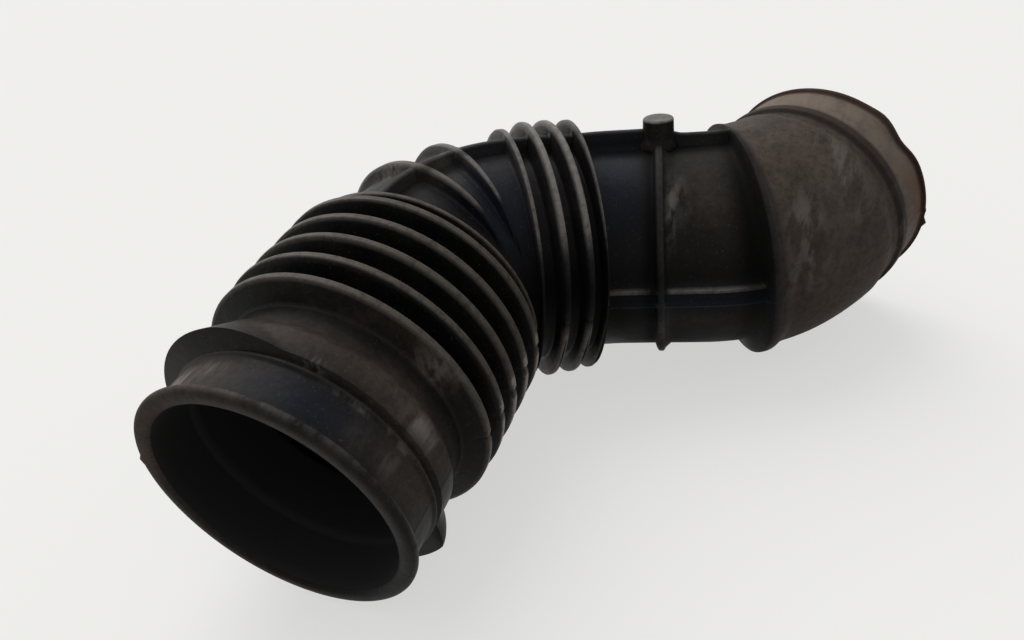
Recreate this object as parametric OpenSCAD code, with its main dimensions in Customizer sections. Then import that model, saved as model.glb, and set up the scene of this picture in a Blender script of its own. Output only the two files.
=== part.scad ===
// Air intake hose, one moulded rubber piece: an S-bend with bellows between two clamped cuffs.
// Millimetres. The hose lies as it rests on a table at z = 0, near mouth facing -Y.
// Stations are measured in mm along the centre line from the near mouth.

/* [Centre line] */
// height of the near mouth's centre above the table
mouth_height = 47.31; // [40:0.01:60]
// how far the hose rolls to its right side to lie at rest, in degrees
rest_roll = 1.9; // [0:0.1:5]
// how far the near straight climbs from the table, in degrees
nose_pitch = 5; // [0:0.5:12]
// length of the near straight, mouth to first bend
near_len = 91; // [86:0.1:120]
// first bend: centre line radius
bend1_r = 50; // [48:0.5:90]
// first bend: angle turned to the right
bend1_deg = 55.5; // [20:0.5:80]
// first bend: how far its plane leans down, in degrees
bend1_lean = 12.5; // [-30:0.5:30]
// length of the middle straight under the second bellows
mid_len = 22.3; // [20:0.1:60]
// second bend: centre line radius
bend2_r = 62; // [50:0.5:120]
// second bend: angle turned to the right
bend2_deg = 22.5; // [5:0.5:60]
// second bend: how far its plane leans up, in degrees
bend2_lean = 12; // [-30:0.5:30]
// length of the plain straight tube
tube_len = 28.8; // [26:0.1:80]
// third bend, inside the far cuff: centre line radius
bend3_r = 46; // [45.5:0.5:90]
// third bend: angle turned back to the left
bend3_deg = 51.5; // [10:0.5:80]
// third bend: how far its plane leans up, in degrees
bend3_lean = 14; // [-30:0.5:30]
// length of the straight end of the far cuff
far_len = 20.5; // [15:0.5:60]

/* [Walls and bores] */
// radius of the near cuff's bore
near_bore_r = 39.5; // [30:0.25:45]
// depth of the near cuff's bore
near_bore_len = 18; // [10:0.5:24]
// radius of the far cuff's bore
far_bore_r = 37.5; // [30:0.25:38]
// depth of the far cuff's bore
far_bore_len = 18; // [10:0.5:20]
// height of the ledge at the bottom of both bores
bore_step = 0.5; // [0.3:0.1:1.5]
// wall thickness of the plain tube
wall = 3; // [2:0.1:3.5]
// wall thickness of the folds
fold_wall = 2.4; // [1.6:0.1:3]
// chamfer at the inside edge of both mouths
mouth_chamfer = 1; // [0.4:0.1:1.5]

/* [Near cuff] */
// outer radius of the mouth lip
lip_r = 45; // [44:0.25:50]
// thickness of the mouth lip along the axis
lip_w = 3.4; // [2:0.1:5]
// outer radius of the clamp band
band_r = 42.6; // [42:0.1:44]
// outer radius of the bead at the back of the clamp band
bead_r = 43.4; // [43:0.1:46]
// radius of the bead's own rounding
bead_ease = 1; // [0.5:0.1:1.5]
// station of that bead
bead_at = 17; // [13:0.1:19]
// outer radius of the collar behind the groove
collar_r = 43.4; // [42:0.1:46]
// station where the collar starts
collar_at = 20.3; // [19:0.1:23]
// length of the collar
collar_len = 12.5; // [9:0.5:16]
// length of the collar's straight part
collar_flat = 7.5; // [4:0.1:8]
// outer radius of the narrow neck in front of the folds
neck_r = 41; // [40.5:0.1:43]
// radius the clamp lugs reach
lug_r = 50; // [46:0.5:54]
// radius of curvature of a lug's outer face
lug_face_r = 44; // [40:0.5:46]
// length of a lug along the axis at its foot
lug_len = 11; // [6:0.5:12]
// centre angle of the upper lug, from the top, looking in at the mouth
lug1_deg = -42; // [-90:1:0]
// half angle the upper lug covers
lug1_half = 60; // [20:1:70]
// centre angle of the lower lug
lug2_deg = 148; // [110:1:180]
// half angle the lower lug covers
lug2_half = 23; // [15:1:60]

/* [Near bellows] */
// outer radius at the bottom of the folds
valley_r = 42.5; // [41.5:0.25:44]
// station of the front disc
front_disc_at = 43.3; // [39:0.1:48]
// crest radius of the front disc
front_disc_r = 49.2; // [46:0.1:54]
// station of the first of the even folds
fold_first = 52.7; // [50:0.1:61]
// distance from fold to fold
fold_pitch = 10.4; // [9.5:0.1:13]
// number of even folds
fold_count = 4; // [1:1:4]
// crest radius of the even folds
fold_r = 49.8; // [46:0.1:54]
// width of a fold's flat crest
crest_w = 3; // [2:0.1:4]
// lean of a fold's side from square, in degrees
fold_lean = 17; // [8:0.5:22]

/* [Fan folds in the bend] */
// crest radius of the thin fold where the bend starts
thin_fold_r = 47.2; // [45:0.1:50]
// width of the thin fold's flat crest
thin_fold_w = 1.8; // [1:0.1:2.4]
// lean of the thin fold's side from square, in degrees
thin_fold_lean = 10; // [5:0.5:11]
// station of the first fan fold
fan1_at = 108.5; // [101:0.5:113]
// station of the second fan fold
fan2_at = 122.5; // [117:0.5:129]
// crest radius of the fan folds
fan_r = 47; // [45:0.1:49.5]
// width of a fan fold's eased crest
fan_w = 3.6; // [2:0.1:5]
// angle a fan fold runs around the outside of the bend
fan_sweep = 264; // [180:1:280]

/* [Far bellows] */
// distance from fold to fold, the first standing where the first bend ends
far_fold_pitch = 8.5; // [7.5:0.1:9.5]
// outer radius between the folds
far_valley_r = 40.6; // [40:0.1:42]
// number of folds
far_fold_count = 4; // [1:1:4]
// crest radius of the folds
far_fold_r = 49.4; // [46:0.1:52]
// width of a fold's eased crest
far_crest_w = 3.2; // [2:0.1:4]
// lean of a fold's side from square, in degrees
far_fold_lean = 10; // [6:0.5:14]

/* [Plain tube] */
// outer radius of the plain tube
tube_r = 39.2; // [39:0.1:41]
// station of the ring rib
ring_at = 198.5; // [191:0.5:206]
// outer radius of the ring rib
ring_r = 42.4; // [41:0.1:47]
// width of the ring rib
ring_w = 2.6; // [1.5:0.1:4]
// outer radius of the crown rib in the bend with the fan folds
near_crown_r = 46.4; // [44:0.1:48]
// outer radius of the crown rib along the top of the tube
crown_r = 44.2; // [42.5:0.1:48]
// width of the crown rib
crown_w = 3.2; // [2:0.1:5]
// outer radius of the two side ribs
side_r = 42.4; // [41:0.1:47]
// width of each side rib
side_w = 1.8; // [1:0.1:3]
// distance between the two side ribs, middle to middle
side_gap = 5.2; // [3.2:0.1:8]
// angle of the side ribs from the top, in degrees
side_deg = 92; // [70:1:120]
// height of the boss's top above the centre line
boss_top = 49.6; // [46:0.1:60]
// radius of the boss at its top
boss_top_r = 5; // [3:0.1:7]
// radius of the boss at its foot
boss_foot_r = 6.8; // [4:0.1:9]

/* [Far cuff] */
// station of the shoulder
shoulder_at = 227.8; // [223:0.1:233]
// outer radius of the shoulder
shoulder_r = 45; // [43.5:0.1:48]
// thickness of the shoulder at its edge
shoulder_w = 3; // [2:0.1:5]
// width of the shoulder's flat edge
shoulder_edge = 2; // [1:0.1:2]
// length of the slope behind the shoulder
shoulder_slope = 6; // [4:0.5:8]
// outer radius of the cuff's body
cuff_r = 42.8; // [42:0.1:44]
// outer radius of the clamp seat at the cuff's end
seat_r = 40.5; // [39:0.1:42]
// outer radius of the step in front of the clamp seat
step_r = 41.8; // [40:0.1:44]
// width of that step
step_w = 4; // [2:0.1:7]
// distance from the step's middle to the far mouth
step_back = 16.8; // [12:0.1:18]
// outer radius of the rim at the far mouth
rim_r = 41; // [39:0.1:44]
// width of the rim
rim_w = 2.4; // [1.5:0.1:4]

/* [Hidden] */
$fn = 96;
edge_fn = 32;
arc1 = bend1_r * bend1_deg * PI / 180;
arc2 = bend2_r * bend2_deg * PI / 180;
arc3 = bend3_r * bend3_deg * PI / 180;
bend1_at = near_len;
mid_at = bend1_at + arc1;
bend2_at = mid_at + mid_len;
tube_at = bend2_at + arc2;
bend3_at = tube_at + tube_len;
far_at = bend3_at + arc3;
end_at = far_at + far_len;
centre_x = 58.05;
centre_y = 110.03;
foot = 1;
ease = 0.05;
core_r = near_bore_r - bore_step;
tube_void_r = tube_r - wall;
cuff_void_r = far_bore_r - bore_step;
fold_root = tube_void_r - 2 * foot;
void_root = tube_void_r - foot;
over = 1;
lap = 0.6;
groove_w = 3;
crest_share = 0.4;
seam_turn = 37;
void_seam_turn = 80;
last_fold_at = mid_at + (far_fold_count - 1) * far_fold_pitch;
side_skip = max(last_fold_at - bend2_at, 0) / arc2 * bend2_deg;
shoulder_turn = (shoulder_at - shoulder_w / 2 - bend3_at) / arc3 * bend3_deg;

// Frames along the centre line

module start_frame() {
    translate([-centre_x, -centre_y, mouth_height])
        rotate([0, rest_roll, 0])
            rotate([nose_pitch - 90, 0, 0])
                children();
}

module turned(r, deg) {
    translate([r, 0, 0])
        rotate([0, deg, 0])
            translate([-r, 0, 0])
                children();
}

module bend1_frame() {
    start_frame()
        translate([0, 0, near_len])
            rotate([0, 0, bend1_lean])
                children();
}

module mid_frame() {
    bend1_frame()
        turned(bend1_r, bend1_deg)
            rotate([0, 0, -bend1_lean])
                children();
}

module bend2_frame() {
    mid_frame()
        translate([0, 0, mid_len])
            rotate([0, 0, -bend2_lean])
                children();
}

module tube_frame() {
    bend2_frame()
        turned(bend2_r, bend2_deg)
            rotate([0, 0, bend2_lean])
                children();
}

module bend3_frame() {
    tube_frame()
        translate([0, 0, tube_len])
            rotate([0, 0, bend3_lean - 180])
                children();
}

module far_frame() {
    bend3_frame()
        turned(bend3_r, bend3_deg)
            rotate([0, 0, 180 - bend3_lean])
                children();
}

module station(s) {
    if (s <= bend1_at)
        start_frame()
            translate([0, 0, s])
                children();
    else if (s <= mid_at)
        bend1_frame()
            turned(bend1_r, (s - bend1_at) / arc1 * bend1_deg)
                rotate([0, 0, -bend1_lean])
                    children();
    else if (s <= bend2_at)
        mid_frame()
            translate([0, 0, s - mid_at])
                children();
    else if (s <= tube_at)
        bend2_frame()
            turned(bend2_r, (s - bend2_at) / arc2 * bend2_deg)
                rotate([0, 0, bend2_lean])
                    children();
    else if (s <= bend3_at)
        tube_frame()
            translate([0, 0, s - tube_at])
                children();
    else if (s <= far_at)
        bend3_frame()
            turned(bend3_r, (s - bend3_at) / arc3 * bend3_deg)
                rotate([0, 0, 180 - bend3_lean])
                    children();
    else
        far_frame()
            translate([0, 0, s - far_at])
                children();
}

// Lengths of pipe, straight and bent, solid

module straight(len, r) {
    cylinder(h = len, r = r);
}

module elbow(bend_r, deg, r) {
    translate([bend_r, 0, 0])
        rotate([90, 0, 180])
            rotate_extrude(angle = deg)
                translate([bend_r, 0])
                    circle(r = r);
}

// A rib along a bend: turn is its angle from the top about the centre line

module elbow_rib(bend_r, deg, turn, inner, outer, w, shift) {
    translate([bend_r, 0, 0])
        rotate([90, 0, 180])
            rotate_extrude(angle = deg)
                translate([bend_r, 0])
                    rotate(turn)
                        translate([shift - w / 2 + ease, -outer + ease])
                            square([w - 2 * ease, outer - inner]);
}

module straight_rib(len, turn, inner, outer, w, shift) {
    rotate([0, 0, -turn])
        translate([shift - w / 2, -outer, -lap])
            cube([w, outer - inner, len + 2 * lap]);
}

// One fold, flat crest or eased crest, as a turned ring with leaning sides

module flat_fold(crest, top_w, lean, root) {
    half = top_w / 2;
    base = half + (crest - root) * tan(lean);
    rotate_extrude()
        polygon([[root, -base], [crest, -half], [crest, half], [root, base]]);
}

module eased_fold(crest, top_w, lean, root, sweep) {
    neck = top_w / 2;
    flat = neck * crest_share;
    tip = crest - neck * (1 - crest_share);
    base = neck + (tip - root) * tan(lean);
    rotate([0, 0, 180 - sweep / 2])
        rotate_extrude(angle = sweep)
            polygon([[root, -base], [tip, -neck], [crest, -flat], [crest, flat], [tip, neck], [root, base]]);
}

// The hollow inside a fold: the same sides moved in by the fold's wall

module fold_void(crest, top_w, lean, root) {
    side = fold_wall / cos(lean);
    slot = 0.4;
    half = top_w / 2;
    tip = crest - (side + slot - half) / tan(lean);
    end = min(tip, crest - fold_wall);
    end_half = half + (crest - end) * tan(lean) - side;
    root_half = half + (crest - root) * tan(lean) - side;
    rotate_extrude()
        polygon([[root, -root_half], [end, -end_half], [end, end_half], [root, root_half]]);
}

// Near cuff: lip, clamp band, bead, groove, collar and neck

module near_cuff() {
    edge = lip_w / 2;
    start_frame() {
        straight(front_disc_at, neck_r);
        straight(bead_at, band_r);
        translate([0, 0, edge / 2])
            cylinder(h = lip_w - edge, r = lip_r);
        translate([0, 0, edge])
            rotate_extrude()
                translate([lip_r - edge, 0])
                    circle(r = edge, $fn = edge_fn);
        cylinder(h = lip_w, r = lip_r - edge);
        translate([0, 0, bead_at])
            rotate_extrude()
                translate([bead_r - bead_ease, 0])
                    circle(r = bead_ease, $fn = edge_fn);
        translate([0, 0, collar_at])
            cylinder(h = collar_flat, r = collar_r);
        translate([0, 0, collar_at + collar_flat])
            cylinder(h = collar_len - collar_flat, r1 = collar_r, r2 = neck_r);
    }
}

module lug(deg, half) {
    reach = lug_r - lug_face_r;
    start_frame()
        translate([0, 0, collar_at])
            rotate([0, 0, deg])
                intersection() {
                    translate([0, -reach, 0])
                        cylinder(h = lug_len, r1 = lug_face_r, r2 = lug_face_r - reach);
                    rotate([0, 0, -90 - half])
                        rotate_extrude(angle = 2 * half)
                            square([lug_r + over, lug_len]);
                }
}

// Bellows

module near_folds() {
    station(front_disc_at)
        flat_fold(front_disc_r, crest_w, fold_lean, fold_root);
    for (i = [0 : fold_count - 1])
        station(fold_first + i * fold_pitch)
            flat_fold(fold_r, crest_w, fold_lean, fold_root);
}

module near_fold_voids() {
    station(front_disc_at)
        fold_void(front_disc_r, crest_w, fold_lean, void_root);
    for (i = [0 : fold_count - 1])
        station(fold_first + i * fold_pitch)
            fold_void(fold_r, crest_w, fold_lean, void_root);
}

module fan_fold(s) {
    station(s)
        rotate([0, 0, bend1_lean])
            eased_fold(fan_r, fan_w, fold_lean, fold_root, fan_sweep);
}

module fan_folds() {
    station(bend1_at)
        flat_fold(thin_fold_r, thin_fold_w, thin_fold_lean, fold_root);
    fan_fold(fan1_at);
    fan_fold(fan2_at);
}

// Full rings start at their own seam angles, clear of the ribs and of each other

module far_folds() {
    for (i = [0 : far_fold_count - 1])
        station(mid_at + i * far_fold_pitch)
            rotate([0, 0, seam_turn])
                eased_fold(far_fold_r, far_crest_w, far_fold_lean, fold_root, 360);
}

module thin_fold_void() {
    station(bend1_at)
        translate([0, 0, -groove_w / 2])
            cylinder(h = groove_w, r = core_r + bore_step);
}

module far_fold_voids() {
    for (i = [0 : far_fold_count - 1])
        station(mid_at + i * far_fold_pitch)
            rotate([0, 0, void_seam_turn])
                fold_void(far_fold_r, far_crest_w, far_fold_lean, void_root);
}

// Pipe between the cuffs, solid; each straight reaches a little way into the bends beside it

module pipe() {
    start_frame()
        translate([0, 0, front_disc_at])
            straight(near_len - front_disc_at + lap, valley_r);
    bend1_frame()
        elbow(bend1_r, bend1_deg, valley_r - ease);
    mid_frame()
        translate([0, 0, -lap])
            straight(mid_len + 2 * lap, far_valley_r);
    bend2_frame()
        elbow(bend2_r, bend2_deg, tube_r - ease);
    tube_frame()
        translate([0, 0, -lap])
            straight(tube_len + 2 * lap, tube_r);
    bend3_frame()
        elbow(bend3_r, shoulder_turn, tube_r - ease);
}

// Ribs and boss on the pipe

module crown_rib() {
    bend1_frame()
        elbow_rib(bend1_r, bend1_deg, bend1_lean, core_r + foot, near_crown_r, crown_w, 0);
    mid_frame()
        straight_rib(mid_len, 0, tube_r - foot, crown_r, crown_w, 0);
    bend2_frame()
        elbow_rib(bend2_r, bend2_deg, -bend2_lean, tube_r - foot, crown_r, crown_w, 0);
    tube_frame()
        straight_rib(tube_len, 0, tube_r - foot, crown_r, crown_w, 0);
    bend3_frame()
        elbow_rib(bend3_r, shoulder_turn, bend3_lean - 180, tube_r - foot, crown_r, crown_w, 0);
}

module side_rib(shift) {
    bend2_frame()
        turned(bend2_r, side_skip)
            elbow_rib(bend2_r, bend2_deg - side_skip, -side_deg - bend2_lean, tube_r - foot, side_r, side_w, shift);
    tube_frame()
        straight_rib(tube_len, -side_deg, tube_r - foot, side_r, side_w, shift);
    bend3_frame()
        elbow_rib(bend3_r, shoulder_turn, bend3_lean - 180 - side_deg, tube_r - foot, side_r, side_w, shift);
}

module ring_rib() {
    station(ring_at)
        translate([0, 0, -ring_w / 2])
            cylinder(h = ring_w, r = ring_r);
}

module boss() {
    station(ring_at)
        rotate([90, 0, 0])
            translate([0, 0, tube_void_r + foot])
                cylinder(h = boss_top - tube_void_r - foot, r1 = boss_foot_r, r2 = boss_top_r);
}

// Far cuff: shoulder, step, clamp seat and rim

module far_cuff() {
    station(shoulder_at)
        translate([0, 0, -shoulder_w])
            rotate_extrude()
                polygon([[tube_void_r - foot, -2 * foot], [tube_r - foot, -2 * foot],
                    [shoulder_r, shoulder_w - shoulder_edge], [shoulder_r, shoulder_w],
                    [cuff_r - foot, shoulder_w + shoulder_slope],
                    [tube_void_r - foot, shoulder_w + shoulder_slope]]);
    bend3_frame()
        turned(bend3_r, shoulder_turn)
            elbow(bend3_r, bend3_deg - shoulder_turn, cuff_r);
    far_frame() {
        translate([0, 0, -lap])
            straight(far_len + lap, seat_r);
        translate([0, 0, far_len - step_back - step_w / 2])
            cylinder(h = step_w, r = step_r);
        translate([0, 0, far_len - rim_w])
            cylinder(h = rim_w, r = rim_r);
    }
}

// Everything hollow

module inside() {
    start_frame() {
        translate([0, 0, -over])
            cylinder(h = near_bore_len + over, r = near_bore_r);
        translate([0, 0, -over])
            cylinder(h = over + mouth_chamfer, r1 = near_bore_r + mouth_chamfer + over, r2 = near_bore_r);
        translate([0, 0, near_bore_len - lap])
            straight(near_len - near_bore_len + 2 * lap, core_r);
    }
    bend1_frame()
        elbow(bend1_r, bend1_deg, core_r - ease);
    mid_frame()
        translate([0, 0, -lap])
            straight(mid_len + 2 * lap, far_valley_r - wall);
    bend2_frame()
        elbow(bend2_r, bend2_deg, tube_void_r - ease);
    tube_frame()
        translate([0, 0, -lap])
            straight(tube_len + 2 * lap, tube_void_r);
    bend3_frame()
        elbow(bend3_r, bend3_deg, cuff_void_r - ease);
    far_frame() {
        translate([0, 0, -lap])
            straight(far_len - far_bore_len + 2 * lap, cuff_void_r);
        translate([0, 0, far_len - far_bore_len])
            cylinder(h = far_bore_len + over, r = far_bore_r);
        translate([0, 0, far_len - mouth_chamfer])
            cylinder(h = over + mouth_chamfer, r1 = far_bore_r, r2 = far_bore_r + mouth_chamfer + over);
    }
    near_fold_voids();
    thin_fold_void();
    far_fold_voids();
}

module hose() {
    color([0.1, 0.1, 0.105])
        difference() {
            union() {
                near_cuff();
                lug(lug1_deg, lug1_half);
                lug(lug2_deg, lug2_half);
                pipe();
                near_folds();
                fan_folds();
                far_folds();
                crown_rib();
                side_rib(side_gap / 2);
                side_rib(-side_gap / 2);
                ring_rib();
                boss();
                far_cuff();
            }
            inside();
        }
}

hose();
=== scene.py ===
"""Air intake hose: one moulded rubber S-bend with bellows, lying on a pale table.

The skin is one closed surface swept along the hose's centre line. The centre line is a chain of
straights and arcs (the same lengths, radii and angles as the part). A point on the outside is
    P(s, t) = C(s) + r(s, t) * (sin t * right(s) + cos t * up(s))
where s is the distance along the centre line, t the angle from the top, and r the pipe's radius
joined with the folds, the ribs and the lugs. Lengths are in millimetres and angles in degrees.
"""

import math

import bpy
import numpy as np
from mathutils import Matrix, Vector


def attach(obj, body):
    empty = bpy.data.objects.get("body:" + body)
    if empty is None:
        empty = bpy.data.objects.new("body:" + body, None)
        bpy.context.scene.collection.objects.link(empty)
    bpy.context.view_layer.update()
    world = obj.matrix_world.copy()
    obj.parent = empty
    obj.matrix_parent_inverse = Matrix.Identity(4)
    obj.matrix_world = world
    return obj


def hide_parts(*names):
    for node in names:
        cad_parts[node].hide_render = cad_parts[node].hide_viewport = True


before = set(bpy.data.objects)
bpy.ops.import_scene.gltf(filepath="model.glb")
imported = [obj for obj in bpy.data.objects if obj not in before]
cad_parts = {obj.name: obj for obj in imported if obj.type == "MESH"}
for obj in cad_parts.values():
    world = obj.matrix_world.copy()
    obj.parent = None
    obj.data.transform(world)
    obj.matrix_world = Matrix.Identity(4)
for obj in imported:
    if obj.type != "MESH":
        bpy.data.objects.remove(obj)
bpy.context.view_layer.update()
MM = 0.001

# Centre line: place of the near mouth, then straights (length) and arcs (radius, angle, turn)
MOUTH_HEIGHT = 47.31
CENTRE_X, CENTRE_Y = 58.05, 110.03
REST_ROLL = 1.9
NOSE_PITCH = 5.0
SEGMENTS = [
    ("straight", 91.0),
    ("arc", 50.0, 55.5, -12.5),
    ("straight", 22.3),
    ("arc", 62.0, 22.5, 12.0),
    ("straight", 28.8),
    ("arc", 46.0, 51.5, 166.0),
    ("straight", 20.5),
]
LENGTHS = [g[1] if g[0] == "straight" else g[1] * math.radians(g[2]) for g in SEGMENTS]
EDGES = np.cumsum([0.0] + LENGTHS)
END = float(EDGES[-1])
MID_AT, BEND2_AT, BEND3_AT, FAR_AT = EDGES[2], EDGES[3], EDGES[5], EDGES[6]

# Bores and the hollow inside
BORE_NEAR, BORE_NEAR_LEN, CORE_R = 39.5, 18.0, 39.0
BORE_FAR, BORE_FAR_LEN, TUBE_VOID_R, CUFF_VOID_R = 37.5, 18.0, 36.2, 37.0
VOID_RUN = 6.0
FOLD_WALL, HOLLOW_W, HOLLOW_EASE, HOLLOW_FILLET = 2.6, 0.8, 0.8, 0.6
MOUTH_CHAMFER = 1.0

# Pipe between the folds and ribs
VALLEY_R, FAR_VALLEY_R, TUBE_R, CUFF_R = 42.5, 40.6, 39.2, 42.8
CUFF_TAPER, SEAT_R, SEAT_FROM, SEAT_TO = 0.9, 40.5, 4.5, 1.5
VALLEY_BLEND, TUBE_BLEND, CUFF_RISE, TAPER_INSET = 1.0, (2.0, 5.0), 2.0, (6.0, 5.0)

# Near cuff: mouth lip, clamp band, bead, and the collar that slopes down to the neck
LIP_R, LIP_W, LIP_EASE_OUT, LIP_EASE_IN, LIP_FILLET = 45.0, 3.4, 1.7, 1.5, 0.9
BAND_R, BAND_PAST_BEAD = 42.6, 0.8
BEAD_R, BEAD_AT, BEAD_HALF, BEAD_CURVE, BEAD_FILLET = 43.4, 17.0, 2.0, 0.75, 0.5
COLLAR_AT, COLLAR_LEN, COLLAR_R, COLLAR_FLAT, NECK_R = 20.3, 12.5, 43.4, 0.6, 41.0

# Clamp lugs: angle, half width and whether the lug tapers off on its right
LUG_R, LUG_FACE_R, LUG_LEN = 50.0, 44.0, 11.0
LUGS = [(-42.0, 60.0, True), (148.0, 23.0, False)]
LUG_END_EASE, LUG_END_DROP, LUG_OVERRUN = 9.0, 5.0, 3.0
LUG_TAPER_FROM, LUG_TAPER_DROP = 0.45, 4.0

# Near bellows: a front disc and four flat folds, each (station, crest radius), then a thin fold
DISC_AT, DISC_R = 43.3, 49.2
FLAT_FOLDS = [(52.7 + 10.4 * i, 49.8) for i in range(4)]
FLAT_W, FLAT_LEAN, FLAT_EASE, FOLD_FILLET = 2.3, 17.0, 0.8, 0.8
THIN_AT, THIN_R, THIN_W, THIN_LEAN, THIN_EASE = 91.0, 47.2, 1.8, 10.0, 0.6

# Fan folds round the outside of the first bend
FAN_FOLDS = [108.5, 122.5]
FAN_R, FAN_W, FAN_EASE, FAN_FILLET = 47.0, 2.16, 1.6, 1.2
FAN_SWEEP, FAN_TURN, FAN_FADE, FAN_SUNK = 264.0, -77.5, 26.0, 2.0

# Far bellows: how much each crest stands above FAR_R, and the sag at the lower right
FAR_FOLDS = [MID_AT + 8.5 * i for i in range(4)]
FAR_RISE = [-1.4, 0.4, 0.3, -0.4]
FAR_R, FAR_W, FAR_LEAN, FAR_EASE = 49.4, 1.76, 10.0, 1.3
FAR_HOLLOW_LEAN = 12.0
FAR_SAG, FAR_SAG_AT, FAR_SAG_SPREAD = 3.4, 118.0, 36.0

# Ribs: the ring rib, the crown rib along the top and the two parallel side ribs
RING_AT, RING_R, RING_HALF, RING_FLAT, RIB_FILLET = 198.5, 42.4, 3.0, 0.5, 0.5
NEAR_CROWN_R, CROWN_R, CROWN_W = 46.4, 44.2, 3.2
CROWN_STEP, CROWN_TUBE_DROP, CROWN_EDGE_DROP, CROWN_SLOPE = 0.7, 0.8, 0.5, 9.0
CROWN_STEP_RUN, CROWN_TUBE_RUN = (8.0, 24.0), 9.0
SIDE_R, SIDE_W, SIDE_GAP, SIDE_DEG, SIDE_FILLET = 42.4, 1.8, 5.2, 92.0, 0.4
SIDE_EDGE_DROP, SIDE_SLOPE, WEB_DROP, WEB_SLOPE = 0.25, 6.0, 1.3, 20.0
BEHIND = 90.0

# Boss on the ring rib: top, shallow dish in it, and foot as (radius past BOSS_FOOT_R, height)
BOSS_TOP, BOSS_TOP_R, BOSS_FOOT_R, BOSS_EASE, BOSS_STEPS = 49.6, 5.5, 6.5, 0.7, 48
BOSS_DISH_R, BOSS_DISH_EDGE_R, BOSS_DISH = 2.0, 3.4, 0.2
BOSS_FOOT = [(-0.9, CROWN_R - 0.6), (-0.3, TUBE_R + 2.6), (0.8, TUBE_R + 0.9), (0.8, TUBE_R - 2.0)]

# Shoulder: it stands lower on top and further out at its lower right
SHOULDER_AT, SHOULDER_R, SHOULDER_W = 227.8, 45.0, 3.0
SHOULDER_DIP, SHOULDER_DIP_AT, SHOULDER_DIP_SPREAD = 1.7, -8.0, 34.0
SHOULDER_KNEE, SHOULDER_KNEE_AT, SHOULDER_KNEE_SPREAD = 1.2, 124.0, 14.0
FLARE_RUN, FLARE_END, FLARE_POWER = 1.6, 1.4, 2.2
BACK_FROM, BACK_RUN, BACK_STAND = 0.9, 3.0, 0.2
FLARE_MARGIN, BACK_MARGIN = 0.6, 0.5

# Far cuff: step and rim, the rim pushed in by a dent and a slow wave
STEP_R, STEP_W, STEP_EASE, STEP_FILLET, STEP_AT = 41.8, 4.0, 1.0, 0.6, END - 16.8
RIM_R, RIM_W, RIM_EASE, RIM_FILLET = 41.7, 2.4, 0.9, 0.8
DENT, DENT_AT, DENT_SPREAD = 1.7, 56.0, 8.0
PUSHED_OUT, PUSHED_OUT_AT, PUSHED_OUT_SPREAD = 0.5, 40.0, 6.0
RIM_WAVE, RIM_WAVES, RIM_WAVE_TURN, DENT_REACH = 0.35, 3, 40.0, 8.0
INNER_DENT = 0.9

# Moulding marks: nibs on the rim and the lip (height, angle, spread), parting line, unevenness
RIM_NIB, RIM_NIB_AT, RIM_NIB_SPREAD = 1.1, 104.0, 1.1
LIP_NIB, LIP_NIB_AT, LIP_NIB_SPREAD, LIP_NIB_RUN = 1.0, -78.5, 1.6, (2.6, 0.8)
PARTING_AT, PARTING_SPREAD = (97.0, -83.0), 1.2
PARTING_CUFF, PARTING_NEAR, PARTING_NOTCH, NOTCH_ABOVE = 0.28, 0.15, 0.5, 4.5
NOTCHES_FROM, CUFF_LINE_FROM = DISC_AT - 4.0, SHOULDER_AT + 1.0
UNEVEN, UNEVEN_RUN, UNEVEN_SEED, UNEVEN_WAVES = 0.12, 9.0, 2, 5

# Rows of the skin: from, to and distance between rows; HAIR keeps two rows close at a sharp edge
OUTSIDE_SPANS = [
    (0.0, 4.4, 0.3), (4.4, 13.4, 1.5), (13.4, 32.0, 0.42), (32.0, 37.5, 1.4), (37.5, 94.0, 0.42),
    (94.0, 102.0, 1.3), (102.0, 126.5, 0.62), (126.5, 133.5, 1.4), (133.5, 169.5, 0.45),
    (169.5, 194.6, 2.0), (194.6, 200.2, 0.4), (200.2, 220.0, 2.0), (220.0, 234.0, 0.5),
    (234.0, 254.0, 1.8), (254.0, 262.6, 0.4), (262.6, END - 3.4, 1.6), (END - 3.4, END, 0.34),
]
INSIDE_SPANS = [
    (0.0, 1.0, 1.0), (1.0, 17.0, 4.0), (17.0, 37.0, 4.0), (37.0, 88.0, 0.95), (88.0, 134.0, 4.0),
    (134.0, 168.5, 0.95), (168.5, END - BORE_FAR_LEN, 5.0), (END - BORE_FAR_LEN, END - 1.0, 5.0),
]
OUTSIDE_EDGES = [COLLAR_AT, COLLAR_AT + LUG_LEN, BEAD_AT + BAND_PAST_BEAD, SHOULDER_AT - SHOULDER_W / 2]
INSIDE_EDGES = [BORE_NEAR_LEN, END - BORE_FAR_LEN]
OUTSIDE_HAIR, INSIDE_HAIR, OUTSIDE_SLACK, INSIDE_SLACK = 0.03, 0.02, 0.05, 0.2
BAND_END_SLACK = 0.01

# Columns of the skin: even steps, and closer ones each side of the crown rib and the side ribs
EVEN_STEP = 2.9
CROWN_COLUMNS, CROWN_CLEAR = [0.7, 1.4, 1.9, 2.05, 2.6, 3.6], 4.2
SIDE_COLUMNS, SIDE_CLEAR = [0.6, 1.3, 1.75, 2.1, 2.9, 3.7, 4.05, 4.4, 5.2], 6.0
LUG_END_COLUMN = 0.15


def smooth(x, a, b):
    """0 at a, 1 at b, smooth cubic between, flat beyond; a may be above b."""
    u = np.clip((x - a) / (b - a), 0.0, 1.0)
    return u * u * (3 - 2 * u)


def union(a, b, k):
    """Larger of a and b with a fillet of about k where they meet (polynomial smooth maximum)."""
    h = np.clip(0.5 + 0.5 * (a - b) / k, 0.0, 1.0)
    return b * (1 - h) + a * h + k * h * (1 - h) * 0.5


def shear(a, b, k):
    """Smaller of a and b, rounded by k."""
    return -union(-a, -b, k)


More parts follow.
